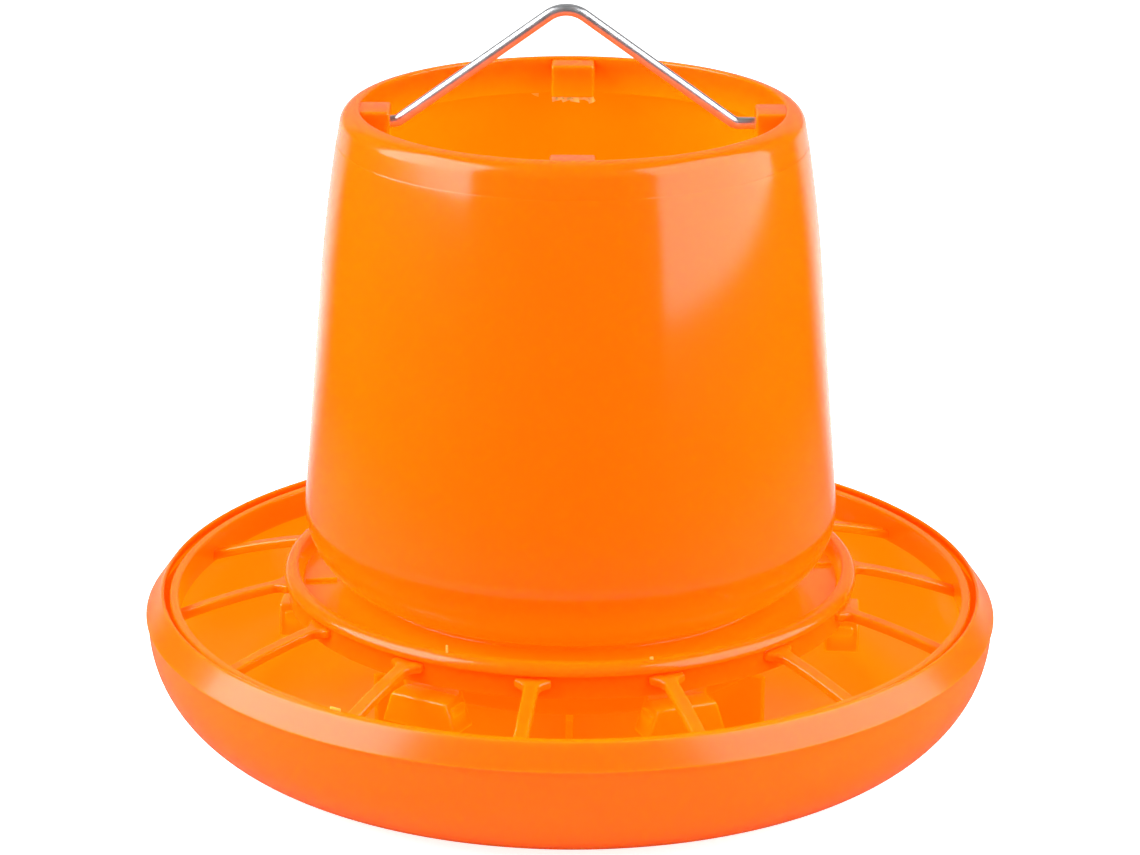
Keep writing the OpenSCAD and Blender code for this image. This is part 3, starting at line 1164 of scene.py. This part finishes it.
    def build(self) -> None:
        """Makes the hopper's pieces."""
        lugs = [
            copies_round_z(self.lug(drilled=True), (0, 180)),
            copies_round_z(self.lug(drilled=False), (90, 270)),
        ]
        angles = [angle + self.foot_turn for angle in self.foot_angles]
        feet = copies_round_z(self.foot(), angles)
        piece = make_piece(
            "hopper_moulding",
            combined(self.shell(), joined([*lugs, feet, self.flange_ribs()]), "UNION"),
            self.finish.build(),
            Body.HOPPER,
        )
        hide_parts("hopper")
        torn = self.flash_finish.build()
        make_piece("lug_flash", self.flash(), torn, Body.HOPPER)


# The bail


@dataclass
class Bail:
    """The bail: one bent wire with an upright apex and two feet in the lugs."""

    finish: WireFinish
    wire_d: float = 3.5
    pivot_z: float = 183.1
    rise: float = 33.0
    apex_r: float = 9.0
    foot_r: float = 4.0
    foot_l: float = 11.0
    corner_x: float = 48.8
    slide: float = 2.0

    def leg_angle(self) -> float:
        """Lean of the legs from the horizontal, in radians."""
        angle = 0.6
        for _ in range(20):
            angle = math.atan(
                (self.rise + self.apex_r * (1 / math.cos(angle) - 1)) / self.corner_x
            )
        return angle

    def build(self) -> None:
        """Makes the bail's piece."""
        angle = self.leg_angle()
        degrees = math.degrees(angle)
        bend = self.foot_r * math.tan(angle / 2)
        leg = (self.corner_x - self.apex_r * math.sin(angle)) / math.cos(angle) - bend
        start = -self.corner_x - self.foot_l - self.slide
        wire = Tube((start, 0, self.pivot_z), self.wire_d)
        wire.straight(self.foot_l - bend)
        wire.turn(self.foot_r, degrees, 10)
        wire.straight(leg, 6)
        wire.turn(self.apex_r, -2 * degrees, 24)
        wire.straight(leg, 6)
        wire.turn(self.foot_r, degrees, 10)
        wire.straight(self.foot_l - bend)
        ends = [e for f in (wire.start, *wire.end) for e in f.edges]
        bevel_edges(wire.bm, ends, 0.35, 2)
        piece = make_piece(
            "bail_wire", tidy(wire.bm), self.finish.build(), Body.BAIL
        )
        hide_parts("bail")


# The studio


@dataclass(frozen=True)
class Softbox:
    """A rectangular studio light.

    Args:
        name: Its name.
        place: Where it hangs, in metres.
        aim: The point that it faces, in metres.
        size: Its width and height in metres.
        power: Its power in watts.
        slant: Its turn in its own plane, in degrees.
    """

    name: str
    place: Point
    aim: Point
    size: tuple[float, float]
    power: float
    slant: float = 0.0

    def build(self) -> None:
        """Hangs the light."""
        light = bpy.data.lights.new(self.name, "AREA")
        light.shape = "RECTANGLE"
        light.size, light.size_y = self.size
        light.energy = self.power
        obj = linked(self.name, light)
        obj.location = self.place
        facing = Vector(self.aim) - Vector(self.place)
        turn = facing.to_track_quat("-Z", "Y").to_matrix()
        turn @= Matrix.Rotation(math.radians(self.slant), 3, "Z")
        obj.rotation_euler = turn.to_euler()


@dataclass
class Studio:
    """The pale floor, the white surroundings, the lights and the camera."""

    distance: float = 1.1
    elevation: float = 18.83
    look_at_z: float = 0.09
    focal_px: float = 3708.0
    image_width_px: float = 1140.0
    shift_px: float = 1.0
    roll: float = 0.33
    floor_size: float = 6.0
    floor_drop: float = 0.0004
    room_light: float = 0.78
    mirror_edge: tuple[float, float] = (0.0, 0.4)
    mirror_level: float = 0.32
    floor_tone: float = 0.85
    near_floor: float = 0.22
    near_edge: tuple[float, float] = (0.5, 0.2)
    floor_edge: tuple[float, float] = (-0.1, 0.2)
    lights: list[Softbox] = field(default_factory=list)

    def floor(self) -> None:
        """A wide white floor, a little below the part."""
        bm = bmesh.new()
        bmesh.ops.create_grid(bm, x_segments=1, y_segments=1, size=self.floor_size)
        bmesh.ops.translate(bm, verts=bm.verts, vec=(0, 0, -self.floor_drop))
        obj = linked("floor", mesh_of("floor", bm))
        material, shader = new_material("floor_white")
        tree = material.node_tree
        path = tree.nodes.new("ShaderNodeLightPath").outputs
        place = tree.nodes.new("ShaderNodeTexCoord").outputs["Object"]
        away = vector_of(tree, "LENGTH", place).outputs["Value"]
        near = ramp(tree, away, *self.near_edge, self.near_floor)
        behind = self.behind(tree, place, self.floor_edge)
        mirrored = math_of(tree, "MAXIMUM", near, behind)
        tone = mix_of(tree, path["Is Glossy Ray"], self.floor_tone, mirrored)
        fill(
            tree,
            shader,
            {
                "Base Color": tone,
                "Roughness": 0.9,
                "Specular IOR Level": 0.0,
                "Emission Color": (0.8, 0.8, 0.8, 1),
                "Emission Strength": path["Is Camera Ray"],
            },
        )
        obj.data.materials.append(material)

    def behind(
        self,
        tree: NodeTree,
        place: NodeSocket,
        edge: tuple[float, float],
        level: float = 1.0,
    ) -> NodeSocket:
        """A mask of what lies behind the part and not far to its sides.

        Args:
            tree: The floor's or the world's nodes.
            place: A place on the floor, or a direction.
            edge: Start and end of the mask's soft edge, in the unit of the place.
            level: The mask's largest value.

        Returns:
            The socket with the mask.
        """
        parts = tree.nodes.new("ShaderNodeSeparateXYZ")
        tree.links.new(place, parts.inputs[0])
        side = math_of(tree, "ABSOLUTE", parts.outputs["X"])
        further = math_of(tree, "SUBTRACT", parts.outputs["Y"], side)
        return ramp(tree, further, *edge, level)

    def surroundings(self) -> None:
        """White surroundings for the camera, and a room for the part.

        Light from all sides is even. In reflections the room is white behind
        the part, and dark at its sides and around the photographer.
        """
        world = bpy.data.worlds.new("studio")
        bpy.context.scene.world = world
        world.use_nodes = True
        tree = world.node_tree
        path = tree.nodes.new("ShaderNodeLightPath").outputs
        heading = tree.nodes.new("ShaderNodeTexCoord").outputs["Generated"]
        behind = self.behind(tree, heading, self.mirror_edge, self.mirror_level)
        light = mix_of(tree, path["Is Glossy Ray"], self.room_light, behind)
        level = math_of(tree, "MAXIMUM", light, path["Is Camera Ray"])
        fill(tree, tree.nodes["Background"], {"Color": (1, 1, 1, 1), "Strength": level})

    def camera(self) -> None:
        """The camera at the photograph's viewing angle."""
        data = bpy.data.cameras.new("camera")
        data.sensor_width = 36.0
        data.lens = data.sensor_width * self.focal_px / self.image_width_px
        data.shift_x = -self.shift_px / self.image_width_px
        obj = linked("camera", data)
        lean = math.radians(self.elevation)
        obj.location = (
            0,
            -self.distance * math.cos(lean),
            self.look_at_z + self.distance * math.sin(lean),
        )
        turn = Matrix.Rotation(math.pi / 2 - lean, 3, "X")
        turn @= Matrix.Rotation(math.radians(self.roll), 3, "Z")
        obj.rotation_euler = turn.to_euler()
        bpy.context.scene.camera = obj

    def build(self) -> None:
        """Sets up the whole studio."""
        self.floor()
        self.surroundings()
        for light in self.lights:
            light.build()
        self.camera()
        bpy.context.scene.view_settings.view_transform = "Standard"


def main() -> None:
    """Builds the feeder's pieces around the frame, and then the studio."""
    logging.basicConfig(level=logging.INFO, format="%(name)s: %(message)s")
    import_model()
    # Painted light: the flash's lighter, yellower colour and its glow stand in for light
    # through the thin flakes of the same plastic.
    flash = PlasticFinish(
        name="thin_flash",
        colour=(1.0, 0.4, 0.06),
        inside=(1.0, 0.44, 0.08),
        glow=(0.1, 0.07, 0.01),
        top=0.2,
        roughness=0.3,
    )
    # Painted light: each finish's inside colour and glow lighten inner faces, and faces
    # in shade below shaded or within core. The pan's core paints the glow over the feed
    # cone and the floor near it, which lie in shade under the hopper.
    pan_orange = PlasticFinish(
        name="pan_orange",
        colour=(1.0, 0.135, 0.001),
        inside=(1.0, 0.17, 0.001),
        glow=(0.4, 0.19, 0.0),
        top=0.036,
        core=0.08,
        roughness=0.2,
    )
    grill_orange = PlasticFinish(
        name="grill_orange",
        colour=(1.0, 0.15, 0.001),
        inside=(1.0, 0.16, 0.001),
        glow=(0.2, 0.07, 0.0),
        top=0.05,
        shaded=0.04,
    )
    hopper_orange = PlasticFinish(
        name="hopper_orange",
        colour=(1.0, 0.14, 0.001),
        inside=(1.0, 0.15, 0.001),
        glow=(0.2, 0.15, 0.0),
        top=0.181,
        shaded=0.06,
    )
    Pan(pan_orange).build()
    Grill(grill_orange, flash).build()
    Hopper(hopper_orange, flash).build()
    Bail(WireFinish()).build()
    Studio(
        lights=[
            Softbox("left", (-0.60, -0.16, 0.65), (0, 0, 0.65), (0.66, 0.9), 11.5),
            Softbox("right", (0.55, -0.20, 0.57), (0, 0, 0.57), (0.76, 0.94), 7.8, 4.6),
        ]
    ).build()


if __name__ == "__main__":
    main()
